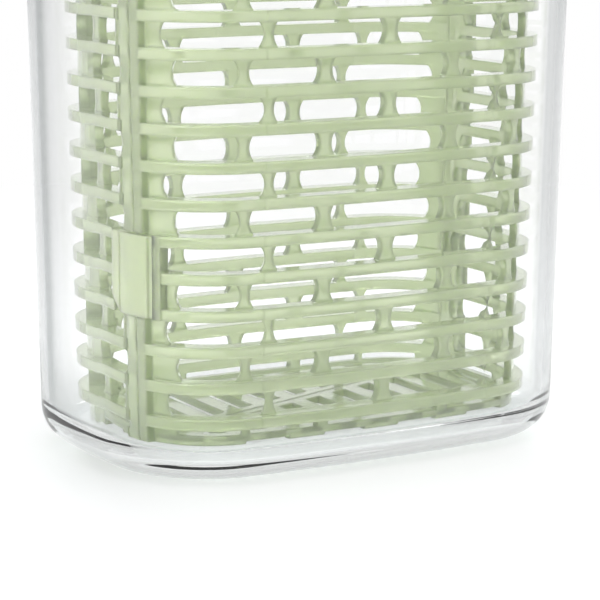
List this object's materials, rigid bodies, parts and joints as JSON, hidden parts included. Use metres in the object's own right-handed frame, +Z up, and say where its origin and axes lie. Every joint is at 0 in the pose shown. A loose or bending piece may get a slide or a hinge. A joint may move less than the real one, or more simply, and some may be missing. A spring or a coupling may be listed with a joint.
{
  "type": "herb keeper",
  "caption": "Tall clear container with a slatted two-shell basket, a snap latch on its side and a lid with a seal and a turning vent.",
  "frame": {"origin": "centre of the container's footprint, on the surface it stands on", "axes": "+Z up, X along the container's long side, -Y towards the front, where the latch is at the left-hand end"},
  "size_m": [0.1482, 0.1054, 0.2242],
  "materials": {
    "container_clear": "clear, polished",
    "basket_green": "translucent, satin",
    "latch_green": "translucent, satin",
    "lid_white": "satin",
    "seal_green": "soft, matt",
    "dial_green": "satin"
  },
  "bodies": {
    "container_body": {"container": "container_clear"},
    "basket": {"rear_shell": "basket_green", "front_shell": "basket_green", "hinge_pin_lower": "basket_green", "hinge_pin_upper": "basket_green"},
    "latch": {"snap_latch": "latch_green"},
    "lid": {"lid_cap": "lid_white", "lid_plug": "lid_white", "lid_seal": "seal_green", "vent_seal": "seal_green"},
    "dial": {"vent_dial": "dial_green", "dial_clip": "lid_white"}
  },
  "joints": [
    {"name": "basket_lift", "type": "slide", "parent": "container_body", "child": "basket", "axis": [0, 0, 1], "range_m": [0, 0.23]},
    {"name": "lid_lift", "type": "slide", "parent": "basket", "child": "lid", "axis": [0, 0, 1], "range_m": [0, 0.26]},
    {"name": "latch_flex", "type": "hinge", "parent": "basket", "child": "latch", "pos_m": [-0.05435, -0.02221, 0.0501], "axis": [0, 0, 1], "range_deg": [0, 12], "stiffness_Nm_per_rad": 0.05},
    {"name": "vent_turn", "type": "hinge", "parent": "lid", "child": "dial", "pos_m": [0, 0, 0.2147], "axis": [0, 0, 1], "range_deg": [0, 30]}
  ]
}
